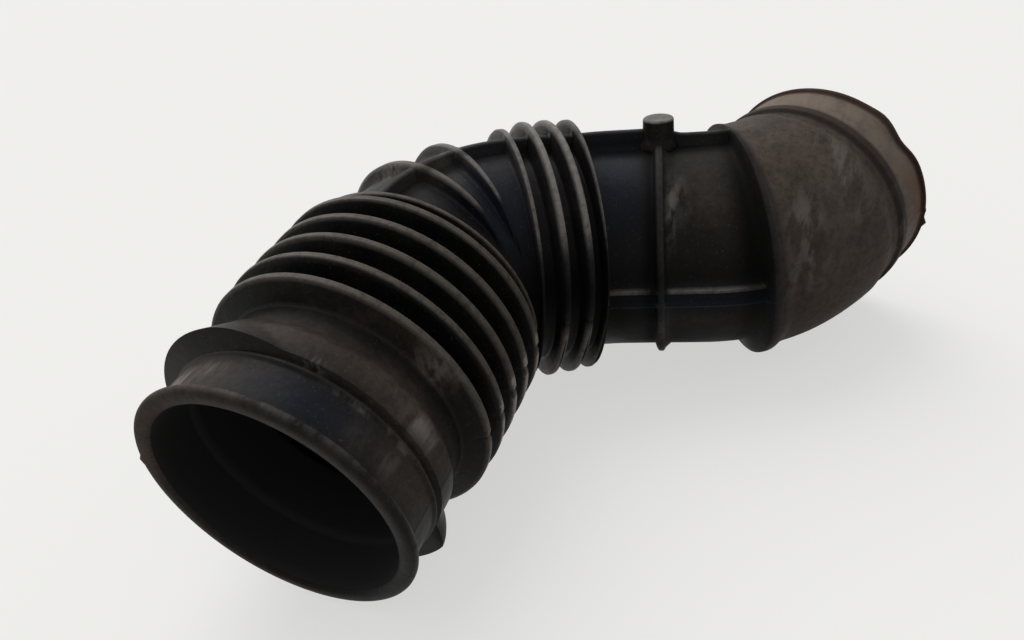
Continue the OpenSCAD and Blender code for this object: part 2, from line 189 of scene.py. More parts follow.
def wrap(t):
    """Angle difference brought to -180..180 degrees."""
    return (t + 180.0) % 360.0 - 180.0


def bell(t, at, spread):
    """1 at the angle at, falling off as exp(-((t - at) / spread)^2)."""
    return np.exp(-((wrap(t - at) / spread) ** 2))


def about_forward(turn):
    """Rotation by turn radians about the forward axis, for a frame of columns right, forward, up."""
    c, d = math.cos(turn), math.sin(turn)
    return np.array([[c, 0.0, -d], [0.0, 1.0, 0.0], [d, 0.0, c]])


def mouth_frame():
    """Right, forward and up at the near mouth: forward rises by NOSE_PITCH, all rolled by REST_ROLL."""
    c, d = math.cos(math.radians(NOSE_PITCH)), math.sin(math.radians(NOSE_PITCH))
    nose = np.array([[1.0, 0.0, 0.0], [0.0, c, -d], [0.0, d, c]])
    return about_forward(-math.radians(REST_ROLL)) @ nose


def centre_line(s):
    """Position and frame (right, forward, up) at each distance s along the hose.

    Straight: P = P0 + u forward.  Arc of radius q bending towards the turned right vector:
    P = P0 + q (1 - cos(u/q)) right + q sin(u/q) forward.
    """
    pos = np.zeros((len(s), 3))
    axes = np.zeros((len(s), 3, 3))
    start = np.array([-CENTRE_X, -CENTRE_Y, MOUTH_HEIGHT])
    base = mouth_frame()
    for i, (kind, *sizes) in enumerate(SEGMENTS):
        low = -math.inf if i == 0 else EDGES[i]
        high = math.inf if i == len(SEGMENTS) - 1 else EDGES[i + 1]
        pick = (s >= low) & (s < high)
        u = s[pick] - EDGES[i]
        if kind == "straight":
            pos[pick] = start + u[:, None] * base[:, 1]
            axes[pick] = base
            start = start + LENGTHS[i] * base[:, 1]
            continue
        q = sizes[0]
        twist = about_forward(math.radians(sizes[2]))
        bend = base @ twist
        c, d = np.cos(np.append(u, LENGTHS[i]) / q), np.sin(np.append(u, LENGTHS[i]) / q)
        step = np.stack([q * (1 - c), q * d, np.zeros_like(c)], 1) @ bend.T
        spin = np.zeros((len(c), 3, 3))
        spin[:, 0, 0], spin[:, 0, 1] = c, d
        spin[:, 1, 0], spin[:, 1, 1] = -d, c
        spin[:, 2, 2] = 1
        turned = bend @ spin @ twist.T
        pos[pick] = start + step[:-1]
        axes[pick] = turned[:-1]
        start = start + step[-1]
        base = turned[-1]
    return pos, axes


def fold(s, at, crest, top_w, lean, ease):
    """Radius of one fold: crest of width top_w and sides leaning lean degrees, the corners eased."""
    side = crest - (np.abs(s - at) - top_w / 2) / math.tan(math.radians(lean))
    return shear(side, crest, ease)


def slab(s, a, b, r, ease_a, ease_b):
    """Radius of a band between stations a and b whose edges are rounded by quarter circles."""
    d = np.minimum((s - a) / ease_a, (b - s) / ease_b)
    cap = np.where((s - a) / ease_a < (b - s) / ease_b, ease_a, ease_b)
    round_off = cap * (1 - np.sqrt(np.clip(1 - (1 - np.clip(d, 0, 1)) ** 2, 0, 1)))
    return np.where((s >= a) & (s <= b), r - round_off, 0.0)


def lug_radius(s, t, deg, half, tapers):
    """A lug: an arc of radius LUG_FACE_R moved out by reach, shrinking along the axis, cut at half."""
    u = np.clip((s - COLLAR_AT) / LUG_LEN, 0.0, 1.0)
    reach = LUG_R - LUG_FACE_R
    away = wrap(t - deg)
    phi = np.radians(away)
    face = LUG_FACE_R - reach * (u if tapers else u ** 2)
    r = reach * np.cos(phi) + np.sqrt(np.maximum(face ** 2 - (reach * np.sin(phi)) ** 2, 1.0))
    r = r - LUG_END_DROP * smooth(np.abs(away), half - LUG_END_EASE, half + LUG_OVERRUN)
    if tapers:
        r = r - LUG_TAPER_DROP * smooth(away, half * LUG_TAPER_FROM, half + LUG_OVERRUN)
    inside = (s >= COLLAR_AT) & (s <= COLLAR_AT + LUG_LEN) & (np.abs(away) < half + LUG_OVERRUN)
    return np.where(inside, r, 0.0)


def ripple(s, t):
    """Slow unevenness of moulded rubber, -1..1: a mean of sines along s times cosines round t."""
    a = np.radians(t)
    out = np.zeros(np.broadcast(s, t).shape)
    for k in range(UNEVEN_WAVES):
        n = 1 + (k * 2 + UNEVEN_SEED) % UNEVEN_WAVES
        along = np.sin(s / UNEVEN_RUN * (1 + 0.37 * k) + UNEVEN_SEED * 1.7 + k)
        out = out + along * np.cos(n * a + UNEVEN_SEED + 2.1 * k)
    return out / UNEVEN_WAVES


def crown_profile(s, t):
    """Radius of the rib along the top: a wall of width CROWN_W whose height steps down twice."""
    across = np.abs(np.sin(np.radians(t))) * CROWN_R + BEHIND * (np.abs(wrap(t)) > 90)
    height = NEAR_CROWN_R - CROWN_STEP * smooth(s - MID_AT, *CROWN_STEP_RUN)
    tube_height = CROWN_R - CROWN_TUBE_DROP
    height = height + (tube_height - NEAR_CROWN_R + CROWN_STEP) * smooth(s, RING_AT, RING_AT + CROWN_TUBE_RUN)
    top = height - CROWN_EDGE_DROP * smooth(across, CROWN_W / 4, CROWN_W / 2 + 0.1)
    wall = top - CROWN_SLOPE * np.maximum(across - CROWN_W / 2, 0.0)
    return np.where((s > THIN_AT) & (s < SHOULDER_AT - SHOULDER_W / 2), wall, 0.0)


def side_profile(s, t):
    """Radius of the two parallel ribs round SIDE_DEG and the lower web between them."""
    away = wrap(t - SIDE_DEG)
    across = np.sin(np.radians(away)) * SIDE_R + BEHIND * (np.abs(away) > 90)
    near = np.minimum(np.abs(across - SIDE_GAP / 2), np.abs(across + SIDE_GAP / 2))
    top = SIDE_R - SIDE_EDGE_DROP * smooth(near, SIDE_W / 6, SIDE_W / 2)
    wall = top - SIDE_SLOPE * np.maximum(near - SIDE_W / 2, 0.0)
    web = SIDE_R - WEB_DROP - WEB_SLOPE * np.maximum(np.abs(across) - SIDE_GAP / 2, 0.0)
    along = (s > FAR_FOLDS[3]) & (s < SHOULDER_AT - SHOULDER_W / 2)
    return np.where(along, np.maximum(wall, web), 0.0)


def base_radius(s):
    """Radius of the pipe under the folds and ribs, by station."""
    r = np.full_like(s, NECK_R)
    r = np.where(s > DISC_AT, VALLEY_R, r)
    r = r + (FAR_VALLEY_R - VALLEY_R) * smooth(s, MID_AT - VALLEY_BLEND, MID_AT + VALLEY_BLEND)
    r = r + (TUBE_R - FAR_VALLEY_R) * smooth(s - BEND2_AT, *TUBE_BLEND)
    cuff = smooth(s, SHOULDER_AT - CUFF_RISE, SHOULDER_AT)
    body = CUFF_R - CUFF_TAPER * smooth(s, SHOULDER_AT + TAPER_INSET[0], FAR_AT - TAPER_INSET[1])
    r = np.where(s > SHOULDER_AT - SHOULDER_W, TUBE_R + (body - TUBE_R) * cuff, r)
    seat = smooth(s, FAR_AT - SEAT_FROM, FAR_AT - SEAT_TO)
    return np.where(s > FAR_AT - SEAT_FROM, body + (SEAT_R - body) * seat, r)


def far_sag(t):
    """How much lower the far folds stand outside, on their lower right."""
    return FAR_SAG * bell(t, FAR_SAG_AT, FAR_SAG_SPREAD)


def add_near_cuff(r, s, t):
    """Clamp band, lip, a bead curved as R - c (s - at)^2, the sloping collar, and the lugs."""
    r = np.maximum(r, np.where(s < BEAD_AT + BAND_PAST_BEAD, BAND_R, 0.0))
    r = union(r, slab(s, -BAND_END_SLACK, LIP_W, LIP_R, LIP_EASE_OUT, LIP_EASE_IN), LIP_FILLET)
    bead = BEAD_R - BEAD_CURVE * (s - BEAD_AT) ** 2
    r = union(r, np.where(np.abs(s - BEAD_AT) < BEAD_HALF, bead, 0.0), BEAD_FILLET)
    down = smooth(s, COLLAR_AT + COLLAR_FLAT * COLLAR_LEN, COLLAR_AT + COLLAR_LEN)
    collar = COLLAR_R + (NECK_R - COLLAR_R) * down
    r = np.maximum(r, np.where((s > COLLAR_AT) & (s < COLLAR_AT + COLLAR_LEN), collar, 0.0))
    for deg, half, tapers in LUGS:
        r = np.maximum(r, lug_radius(s, t, deg, half, tapers))
    return r


def add_folds(r, s, t):
    """Front disc, flat folds, thin fold, fan folds that fade out at their ends, and far folds."""
    for at, crest in [(DISC_AT, DISC_R)] + FLAT_FOLDS:
        r = union(r, fold(s, at, crest, FLAT_W, FLAT_LEAN, FLAT_EASE), FOLD_FILLET)
    r = union(r, fold(s, THIN_AT, THIN_R, THIN_W, THIN_LEAN, THIN_EASE), FOLD_FILLET)
    away = np.abs(wrap(t - FAN_TURN))
    fade = 1.0 - smooth(away, FAN_SWEEP / 2 - FAN_FADE, FAN_SWEEP / 2 + FAN_FADE)
    crest = VALLEY_R - FAN_SUNK + (FAN_R - VALLEY_R + FAN_SUNK) * fade
    for at in FAN_FOLDS:
        r = union(r, fold(s, at, crest, FAN_W, FLAT_LEAN, FAN_EASE), FAN_FILLET)
    for at, rise in zip(FAR_FOLDS, FAR_RISE):
        r = union(r, fold(s, at, FAR_R + rise - far_sag(t), FAR_W, FAR_LEAN, FAR_EASE), FOLD_FILLET)
    return r


def add_ribs(r, s, t):
    """Ring rib, flat on top and curved as R - x^2 beyond it, then the crown rib and the side ribs."""
    away = np.abs(s - RING_AT)
    ring = RING_R - np.maximum(away - RING_FLAT, 0.0) ** 2
    r = union(r, np.where(away < RING_HALF, ring, 0.0), RIB_FILLET)
    r = union(r, crown_profile(s, t), RIB_FILLET)
    return union(r, side_profile(s, t), SIDE_FILLET)


def add_far_cuff(r, s, t):
    """Shoulder, as the lower of a flare and a back slope, then the step and the rim."""
    edge = SHOULDER_R - SHOULDER_DIP * bell(t, SHOULDER_DIP_AT, SHOULDER_DIP_SPREAD)
    edge = edge + SHOULDER_KNEE * bell(t, SHOULDER_KNEE_AT, SHOULDER_KNEE_SPREAD)
    foot = SHOULDER_AT - SHOULDER_W
    rise = smooth(s, foot - FLARE_RUN, SHOULDER_AT - FLARE_END) ** FLARE_POWER
    flare = TUBE_R + (edge - TUBE_R) * rise
    fall = smooth(s, SHOULDER_AT - BACK_FROM, SHOULDER_AT + BACK_RUN)
    back = edge + (CUFF_R + BACK_STAND - edge) * fall
    here = (s > foot - FLARE_RUN - FLARE_MARGIN) & (s < SHOULDER_AT + BACK_RUN + BACK_MARGIN)
    r = np.maximum(r, np.where(here, np.minimum(flare, back), 0.0))
    step = slab(s, STEP_AT - STEP_W / 2, STEP_AT + STEP_W / 2, STEP_R, STEP_EASE, STEP_EASE)
    r = union(r, step, STEP_FILLET)
    return union(r, slab(s, END - RIM_W, END + BAND_END_SLACK, RIM_R, RIM_EASE, RIM_EASE), RIM_FILLET)


def add_moulding_marks(r, s, t):
    """Two nibs, the parting line (raised on the cuffs, a notch in each tall fold) and unevenness."""
    r = r + RIM_NIB * bell(t, RIM_NIB_AT, RIM_NIB_SPREAD) * smooth(s, END - RIM_W, END - RIM_W / 2)
    r = r + LIP_NIB * bell(t, LIP_NIB_AT, LIP_NIB_SPREAD) * smooth(s, *LIP_NIB_RUN)
    line = sum(bell(t, at, PARTING_SPREAD) for at in PARTING_AT)
    notch = -PARTING_NOTCH * (r > base_radius(s) + NOTCH_ABOVE)
    height = np.where(s > NOTCHES_FROM, notch, PARTING_NEAR)
    r = r + line * np.where(s > CUFF_LINE_FROM, PARTING_CUFF, height)
    return r + UNEVEN * ripple(s, t)


def outer_radius(s, t):
    """Outside radius at station s and angle t, each form joined to the pipe in turn."""
    r = base_radius(s) + 0.0 * t
    r = add_near_cuff(r, s, t)
    r = add_folds(r, s, t)
    r = add_ribs(r, s, t)
    r = add_far_cuff(r, s, t)
    return add_moulding_marks(r, s, t)


def inner_radius(s, t):
    """Inside radius: bore with its ledge, the hollow of each fold, then the far bore.

    The hollows of the far folds keep their full height all round, also where far_sag lowers the
    outside, so there they pass through it.
    """
    tube = smooth(s, BEND2_AT - VOID_RUN, BEND2_AT)
    cuff = smooth(s, BEND3_AT, FAR_AT)
    r = np.where(s < MID_AT, CORE_R, CORE_R + (TUBE_VOID_R - CORE_R) * tube)
    r = np.where(s > BEND3_AT, TUBE_VOID_R + (CUFF_VOID_R - TUBE_VOID_R) * cuff, r)
    for at, crest in [(DISC_AT, DISC_R)] + FLAT_FOLDS:
        hollow = fold(s, at, crest - FOLD_WALL, HOLLOW_W, FLAT_LEAN, HOLLOW_EASE)
        r = union(r, hollow, HOLLOW_FILLET)
    for at in FAR_FOLDS:
        hollow = fold(s, at, FAR_R - FOLD_WALL, HOLLOW_W, FAR_HOLLOW_LEAN, HOLLOW_EASE)
        r = union(r, hollow, HOLLOW_FILLET)
    r = np.where(s < BORE_NEAR_LEN, BORE_NEAR, r)
    r = np.where(s > END - BORE_FAR_LEN, BORE_FAR, r)
    return r + 0.0 * t


def rim_dent(s, t):
    """How far the far rim is pushed in: one dent and a slow wave, fading away from the end."""
    bump = DENT * bell(t, DENT_AT, DENT_SPREAD)
    bump = bump - PUSHED_OUT * bell(t, PUSHED_OUT_AT, PUSHED_OUT_SPREAD)
    wave = RIM_WAVE * np.cos(np.radians(RIM_WAVES * t + RIM_WAVE_TURN))
    return (bump + wave) * smooth(s, END - DENT_REACH, END)


def stations(spans, edges, hair, slack, ends):
    """Stations of the rows: evenly spaced in each span, and one each side of every sharp edge."""
    even = [np.arange(a, b - slack, w) for a, b, w in spans]
    sharp = [edge + side * hair for edge in edges for side in (-1, 1)]
    return np.unique(np.concatenate(even + [np.array(sharp + ends)]))


def angles():
    """Angles round the hose: even steps, closer together at the ribs and at the lugs' ends."""
    even = np.arange(-180.0, 180.0, EVEN_STEP)
    keep = even[(np.abs(even) > CROWN_CLEAR) & (np.abs(even - SIDE_DEG) > SIDE_CLEAR)]
    crown = [side * a for a in CROWN_COLUMNS for side in (-1, 1)] + [0.0]
    ribs = [SIDE_DEG + side * a for a in SIDE_COLUMNS for side in (-1, 1)] + [SIDE_DEG]
    ends = [wrap(deg + side * half + nudge) for deg, half, _ in LUGS
            for side in (-1, 1) for nudge in (-LUG_END_COLUMN, LUG_END_COLUMN)]
    return np.unique(np.round(np.concatenate([keep, crown, ribs, ends]), 3))


def sweep(s, radii, t):
    """Points of the rows: C(s) + r (sin t right + cos t up), in metres."""
    pos, axes = centre_line(s)
    a = np.radians(t)
    right, up = axes[:, :, 0], axes[:, :, 2]
    ring = np.sin(a)[None, :, None] * right[:, None, :] + np.cos(a)[None, :, None] * up[:, None, :]
    return (pos[:, None, :] + radii[:, :, None] * ring) * MM


def make_mesh(name, verts, faces):
    """Mesh object from corners and faces, shaded smooth."""
    mesh = bpy.data.meshes.new(name)
    mesh.from_pydata(verts, [], faces)
    mesh.validate()
    mesh.update()
    mesh.polygons.foreach_set("use_smooth", np.ones(len(mesh.polygons), dtype=bool))
    obj = bpy.data.objects.new(name, mesh)
    bpy.context.collection.objects.link(obj)
    return obj


def add_attribute(obj, name, values):
    """One number at each corner point, for the material."""
    layer = obj.data.attributes.new(name, "FLOAT", "POINT")
    layer.data.foreach_set("value", np.ascontiguousarray(values, dtype=np.float32))


# Wear and painted light by place, each row: station, angle, spread along, spread round, amount
# Dust; the spot at station 213, angle 45 is a painted brown sheen on the tube
DUST_AND_SHEEN = [
    (9.0, -52.0, 7.0, 46.0, 0.95), (1.0, -70.0, 3.0, 60.0, 0.95), (0.0, 40.0, 1.2, 40.0, 0.25),
    (10.0, 78.0, 8.0, 24.0, 0.5), (26.0, 66.0, 7.0, 26.0, 0.85), (28.0, 15.0, 6.0, 34.0, 0.5),
    (42.0, 60.0, 2.5, 12.0, 0.5), (40.5, 40.0, 2.0, 50.0, 0.25), (213.0, 45.0, 9.0, 24.0, 0.4),
    (211.0, 110.0, 10.0, 6.0, 0.5), (113.0, -5.0, 8.0, 22.0, 0.5), (150.0, 40.0, 16.0, 30.0, 0.2),
    (215.0, -120.0, 20.0, 60.0, 0.4), (60.0, -140.0, 40.0, 40.0, 0.35),
]
SCUFFS = [
    (11.0, -14.0, 2.5, 8.0, 0.6), (6.0, -24.0, 3.0, 6.0, 0.6), (25.0, 67.0, 3.5, 7.0, 0.9),
    (24.5, 78.0, 3.5, 5.0, 0.8), (20.8, 24.0, 2.0, 4.0, 0.7), (16.0, 56.0, 0.7, 16.0, 0.75),
    (9.0, -30.0, 4.0, 16.0, 0.5), (201.5, 52.0, 1.0, 15.0, 0.9), (204.0, 40.0, 3.0, 12.0, 0.4),
    (41.0, 61.0, 1.6, 8.0, 0.6), (10.0, 62.0, 4.0, 10.0, 0.35), (263.0, 100.0, 6.0, 20.0, 0.6),
    (232.0, 86.0, 4.0, 9.0, 0.5), (250.0, 40.0, 4.0, 20.0, 0.4), (118.0, -8.0, 3.0, 8.0, 0.7),
    (106.0, -14.0, 3.0, 10.0, 0.6), (2.0, 30.0, 1.2, 40.0, 0.25), (234.0, 64.0, 4.0, 15.0, 0.6),
    (246.0, 60.0, 3.0, 14.0, 0.55), (268.0, 20.0, 5.0, 30.0, 0.3),
]
# Painted bluish reflection of the window on the band, the fan and far folds, the tube and the side ribs
PAINTED_SHEEN = [
    (9.0, 30.0, 6.0, 25.0, 0.8), (181.0, 28.0, 11.0, 30.0, 1.0), (116.0, 34.0, 10.0, 30.0, 0.9),
    (132.0, 35.0, 8.0, 30.0, 0.6), (208.0, 96.0, 20.0, 8.0, 0.9), (150.0, 50.0, 20.0, 40.0, 0.4),
]
# Painted shade between the folds, beside the ribs, before the shoulder and low on the tube
PAINTED_SHADE = [
    (150.0, 82.0, 24.0, 15.0, 1.0), (112.0, 90.0, 18.0, 18.0, 0.9), (180.0, 105.0, 14.0, 14.0, 0.6),
    (223.6, 60.0, 3.4, 75.0, 1.0), (195.2, 60.0, 2.6, 70.0, 1.0), (197.0, 7.0, 28.0, 4.2, 1.0),
    (117.0, 7.0, 26.0, 4.0, 0.9), (204.0, 130.0, 18.0, 14.0, 0.8), (202.0, 82.0, 22.0, 8.0, 0.5),
]
FAR_DUST_FROM, FAR_DUST_TO = SHOULDER_AT - 1.2, SHOULDER_AT + 1.5
BOSS_MARKS_AND_PAINTED_LIGHT, BOSS_LIT, BOSS_LIT_DEPTH = 0.06, 0.7, 0.6

# Painted highlight on the crests, and painted shade on part of the far crests: reach along the hose,
# how strongly each kind is lit, and the angles between which the highlight grows or fades
WIDE_REACH, THIN_REACH, RING_REACH, EDGE_REACH = 2.6, 2.0, 1.6, 0.7
FOLD_HIGHLIGHT, LOW_RIGHT_HIGHLIGHT, THIN_HIGHLIGHT, EDGE_HIGHLIGHT, SIDE_RIB_HIGHLIGHT = 0.8, 0.9, 0.9, 0.15, 0.8
FAR_HIGHLIGHT = (0.7, 1.0, 1.0, 0.55)
HIGHLIGHT_FROM, HIGHLIGHT_TO, EDGE_BACK = 0.7, 0.2, 1.0
LOW_RIGHT_FROM, LOW_RIGHT_TO, PARTING_CLEAR = (86.0, 93.0), (112.0, 120.0), 1.6
FAR_SHADE, FAR_SHADE_AT, FAR_LOW_HIGHLIGHT, FAR_LOW_HIGHLIGHT_AT = 0.85, (56.0, 68.0), 0.95, (97.0, 106.0)
RING_HIGHLIGHT, RING_LOW_HIGHLIGHT, RING_LOW_AT, RING_CLEAR = 0.12, 0.4, (100.0, 110.0), 3.5
UPPER_RIB_OFFSET, UPPER_RIB_HALF, UPPER_RIB_FROM, UPPER_RIB_TO = 3.3, 1.6, 0.5, 0.2


def spots(station, angle, table):
    """Sum of soft spots a * exp(-((s - s0) / ds)^2 - ((t - t0) / dt)^2) over the rows of table."""
    out = np.zeros_like(station)
    for s0, t0, ds, dt, amount in table:
        out += amount * np.exp(-((station - s0) / ds) ** 2 - (wrap(angle - t0) / dt) ** 2)
    return np.clip(out, 0.0, 1.0)


def dust_and_sheen_mask(station, angle):
    """Where grey-brown dust lies, with one painted brown sheen: spots, and the whole far cuff."""
    far_cuff = smooth(station, FAR_DUST_FROM, FAR_DUST_TO)
    return np.maximum(spots(station, angle, DUST_AND_SHEEN), far_cuff)


def crest_mask(s, t, r):
    """How much painted highlight lies on the crests of folds, ribs and shoulder; over 1 is palest."""
    # Painted highlight grows on the lower right of the near folds, but not on the parting line
    low_right = smooth(t, *LOW_RIGHT_FROM) * (1.0 - smooth(t, *LOW_RIGHT_TO))
    low_right = low_right * (np.abs(wrap(t - PARTING_AT[0])) > PARTING_CLEAR)
    near = FOLD_HIGHLIGHT + LOW_RIGHT_HIGHLIGHT * low_right
    # Far crests: dimmed by painted shade in the middle, paled by painted highlight on the lower right
    far = 1.0 - FAR_SHADE * smooth(t, *FAR_SHADE_AT) + FAR_LOW_HIGHLIGHT * smooth(t, *FAR_LOW_HIGHLIGHT_AT)
    ring = RING_HIGHLIGHT + RING_LOW_HIGHLIGHT * smooth(t, *RING_LOW_AT)
    crests = [(DISC_AT, DISC_R, WIDE_REACH, FOLD_HIGHLIGHT)]
    crests += [(at, crest, WIDE_REACH, near) for at, crest in FLAT_FOLDS]
    crests += [(THIN_AT, THIN_R, THIN_REACH, THIN_HIGHLIGHT)]
    crests += [(at, FAN_R, WIDE_REACH, FOLD_HIGHLIGHT) for at in FAN_FOLDS]
    crests += [(at, FAR_R + rise - far_sag(t), WIDE_REACH, far * lit)
               for at, rise, lit in zip(FAR_FOLDS, FAR_RISE, FAR_HIGHLIGHT)]
    crests += [(RING_AT, RING_R, RING_REACH, ring)]
    # Painted highlight along the shoulder edge
    crests += [(SHOULDER_AT - EDGE_BACK, SHOULDER_R, EDGE_REACH, EDGE_HIGHLIGHT)]
    out = np.zeros(r.shape)
    for at, crest, reach, amount in crests:
        top = smooth(r, crest - HIGHLIGHT_FROM, crest - HIGHLIGHT_TO) * (np.abs(s - at) < reach)
        out = np.maximum(out, top * amount)
    # Painted highlight along the upper side rib
    upper_rib = np.abs(wrap(t - SIDE_DEG + UPPER_RIB_OFFSET)) < UPPER_RIB_HALF
    along = (s > FAR_FOLDS[3]) & (s < SHOULDER_AT - SHOULDER_W) & (np.abs(s - RING_AT) > RING_CLEAR)
    rib = smooth(r, SIDE_R - UPPER_RIB_FROM, SIDE_R - UPPER_RIB_TO) * upper_rib * along
    return np.maximum(out, rib * SIDE_RIB_HIGHLIGHT)


def build_skin():
    """The whole hose as one closed surface: outside rows, far face, inside rows, near face."""
    t = angles()
    so = stations(OUTSIDE_SPANS, OUTSIDE_EDGES, OUTSIDE_HAIR, OUTSIDE_SLACK, [END])
    si = stations(INSIDE_SPANS, INSIDE_EDGES, INSIDE_HAIR, INSIDE_SLACK, [END - MOUTH_CHAMFER, END])[::-1]
    ro = outer_radius(so[:, None], t[None, :]) - rim_dent(so[:, None], t[None, :])
    ri = inner_radius(si[:, None], t[None, :]) - INNER_DENT * rim_dent(si[:, None], t[None, :])
    ri[0] += MOUTH_CHAMFER
    ri[-1] += MOUTH_CHAMFER
    all_s = np.concatenate([so, si])
    points = sweep(all_s, np.concatenate([ro, ri]), t)
    m, n = len(all_s), len(t)
    i, j = np.arange(m)[:, None], np.arange(n)[None, :]
    i2, j2 = (i + 1) % m, (j + 1) % n
    quads = np.stack([i * n + j, i * n + j2, i2 * n + j2, i2 * n + j], 2).reshape(-1, 4)
    skin = make_mesh("hose_skin", points.reshape(-1, 3), quads)
    row = np.arange(m)
    past_mouth_faces = (row >= len(so) + 1) & (row < m - 2)
    skin.data.polygons.foreach_set("material_index", np.repeat(past_mouth_faces.astype(np.int32), n))
    station, angle = np.repeat(all_s, n), np.tile(t, m)
    crest = np.concatenate([crest_mask(so[:, None], t[None, :], ro), np.zeros(ri.shape)])
    add_attribute(skin, "station", station)
    add_attribute(skin, "crest", crest.reshape(-1))
    add_attribute(skin, "dust_and_sheen", dust_and_sheen_mask(station, angle))
    for name, table in (("scuff", SCUFFS), ("painted_sheen", PAINTED_SHEEN), ("painted_shade", PAINTED_SHADE)):
        add_attribute(skin, name, spots(station, angle, table))
    return skin


def build_boss():
    """The boss on top of the ring rib: a tapered pin, closed above and below.

    Its profile (radius, height) is turned about the up vector at the ring rib:
    P = C + r sin(a) right + r cos(a) forward + z up.
    """
    ease = np.radians(np.linspace(0.0, 90.0, 6))
    top_r = BOSS_TOP_R - BOSS_EASE + BOSS_EASE * np.sin(ease)
    top_z = BOSS_TOP - BOSS_EASE + BOSS_EASE * np.cos(ease)
    dish = [(BOSS_DISH_R, BOSS_TOP - BOSS_DISH), (BOSS_DISH_EDGE_R, BOSS_TOP)]
    foot = [(BOSS_FOOT_R + out, z) for out, z in BOSS_FOOT]
    profile = np.concatenate([dish, np.stack([top_r, top_z], 1), foot])
    a = np.linspace(0, 2 * np.pi, BOSS_STEPS, endpoint=False)
    pos, axes = centre_line(np.array([RING_AT]))
    right, forward, up = axes[0].T
    round_it = np.sin(a)[:, None] * right + np.cos(a)[:, None] * forward
    points = pos[0] + profile[:, :1, None] * round_it + profile[:, 1:, None] * up
    rows, n = len(profile), BOSS_STEPS
    i, j = np.arange(rows - 1)[:, None] * n, np.arange(n)[None, :]
    j2 = (j + 1) % n
    sides = np.stack([i + j, i + j2, i + n + j2, i + n + j], 2).reshape(-1, 4).tolist()
    caps = [list(range(n))[::-1], list(range((rows - 1) * n, rows * n))]
    boss = make_mesh("boss", (points.reshape(-1, 3) * MM).tolist(), sides + caps)
    add_attribute(boss, "station", np.full(rows * n, RING_AT))
    # Painted highlight on the top of the boss
    add_attribute(boss, "crest", np.repeat(profile[:, 1] > BOSS_TOP - BOSS_LIT_DEPTH, n) * BOSS_LIT)
    # A little dust, scuff, painted sheen and painted shade all over the boss
    for name in ("dust_and_sheen", "scuff", "painted_sheen", "painted_shade"):
        add_attribute(boss, name, np.full(rows * n, BOSS_MARKS_AND_PAINTED_LIGHT))
    return boss


# Patterns in the rubber: size in millimetres, detail and roughness of the noise
PATTERNS = {
    "speck": (0.91, 5.0, 0.62),
    "grain": (2.38, 6.0, 0.7),
    "cloud": (14.3, 5.0, 0.62),
    "patch": (45.5, 3.0, 0.5),
    "streak": (3.85, 4.0, 0.6),
}
STREAK_STRETCH, STREAK_TURN = (1.0, 0.12, 0.5), (0.3, 0.2, 0.9)
GRAIN_DEPTH, GRAIN_STRENGTH = 0.5, 0.35
RUBBER_SPECULAR, INSIDE_SPECULAR = 0.06, 0.1

# Floor: half its width in metres, and the share of its own glow where it is seen
FLOOR_HALF, FLOOR_GLOW = 3.0, 0.68

# Places of a colour Mix node's sockets, which share their names with its number sockets
FACTOR, UNDER, OVER, MIXED = 0, 6, 7, 2


def linear(hex_code):
    """sRGB hex to the linear colour that Blender's sockets take."""
    parts = [int(hex_code[i:i + 2], 16) / 255 for i in (1, 3, 5)]
    return [c / 12.92 if c <= 0.04045 else ((c + 0.055) / 1.055) ** 2.4 for c in parts] + [1.0]


def add_node(tree, kind, inputs=(), output=0, **settings):
    """Add a node with its settings, give its sockets a link, hex colour or number, return one output."""
    node = tree.nodes.new("ShaderNode" + kind)
    for name, value in settings.items():
        setattr(node, name, value)
    for place, value in inputs.items() if isinstance(inputs, dict) else enumerate(inputs):
        if isinstance(value, bpy.types.NodeSocket):
            tree.links.new(value, node.inputs[place])
        else:
            node.inputs[place].default_value = linear(value) if isinstance(value, str) else value
    return node.outputs[output] if node.outputs else None


def new_material(name):
    """An empty node material and its tree."""
    mat = bpy.data.materials.new(name)
    mat.use_nodes = True
    mat.node_tree.nodes.clear()
    return mat, mat.node_tree


def product(tree, parts):
    """Product of parts: sockets, numbers, and soft steps as (source, low, high, at low, at high)."""
    out = None
    for part in parts:
        if isinstance(part, tuple):
            part = add_node(tree, "MapRange", part, interpolation_type="SMOOTHSTEP")
        out = part if out is None else add_node(tree, "Math", (out, part), operation="MULTIPLY")
    return out


def rubber_patterns(tree):
    """The noise patterns on Object coordinates; streaks are drawn out by a stretched mapping."""
    coords = add_node(tree, "TexCoord", output="Object")
    stretched = {"Vector": coords, "Scale": STREAK_STRETCH, "Rotation": STREAK_TURN}
    drawn_out = add_node(tree, "Mapping", stretched)
    found = {}
    for name, (size, detail, rough) in PATTERNS.items():
        source = drawn_out if name == "streak" else coords
        sockets = {"Vector": source, "Scale": 1.0 / (size * MM), "Detail": detail, "Roughness": rough}
        found[name] = add_node(tree, "TexNoise", sockets, "Fac")
    return found


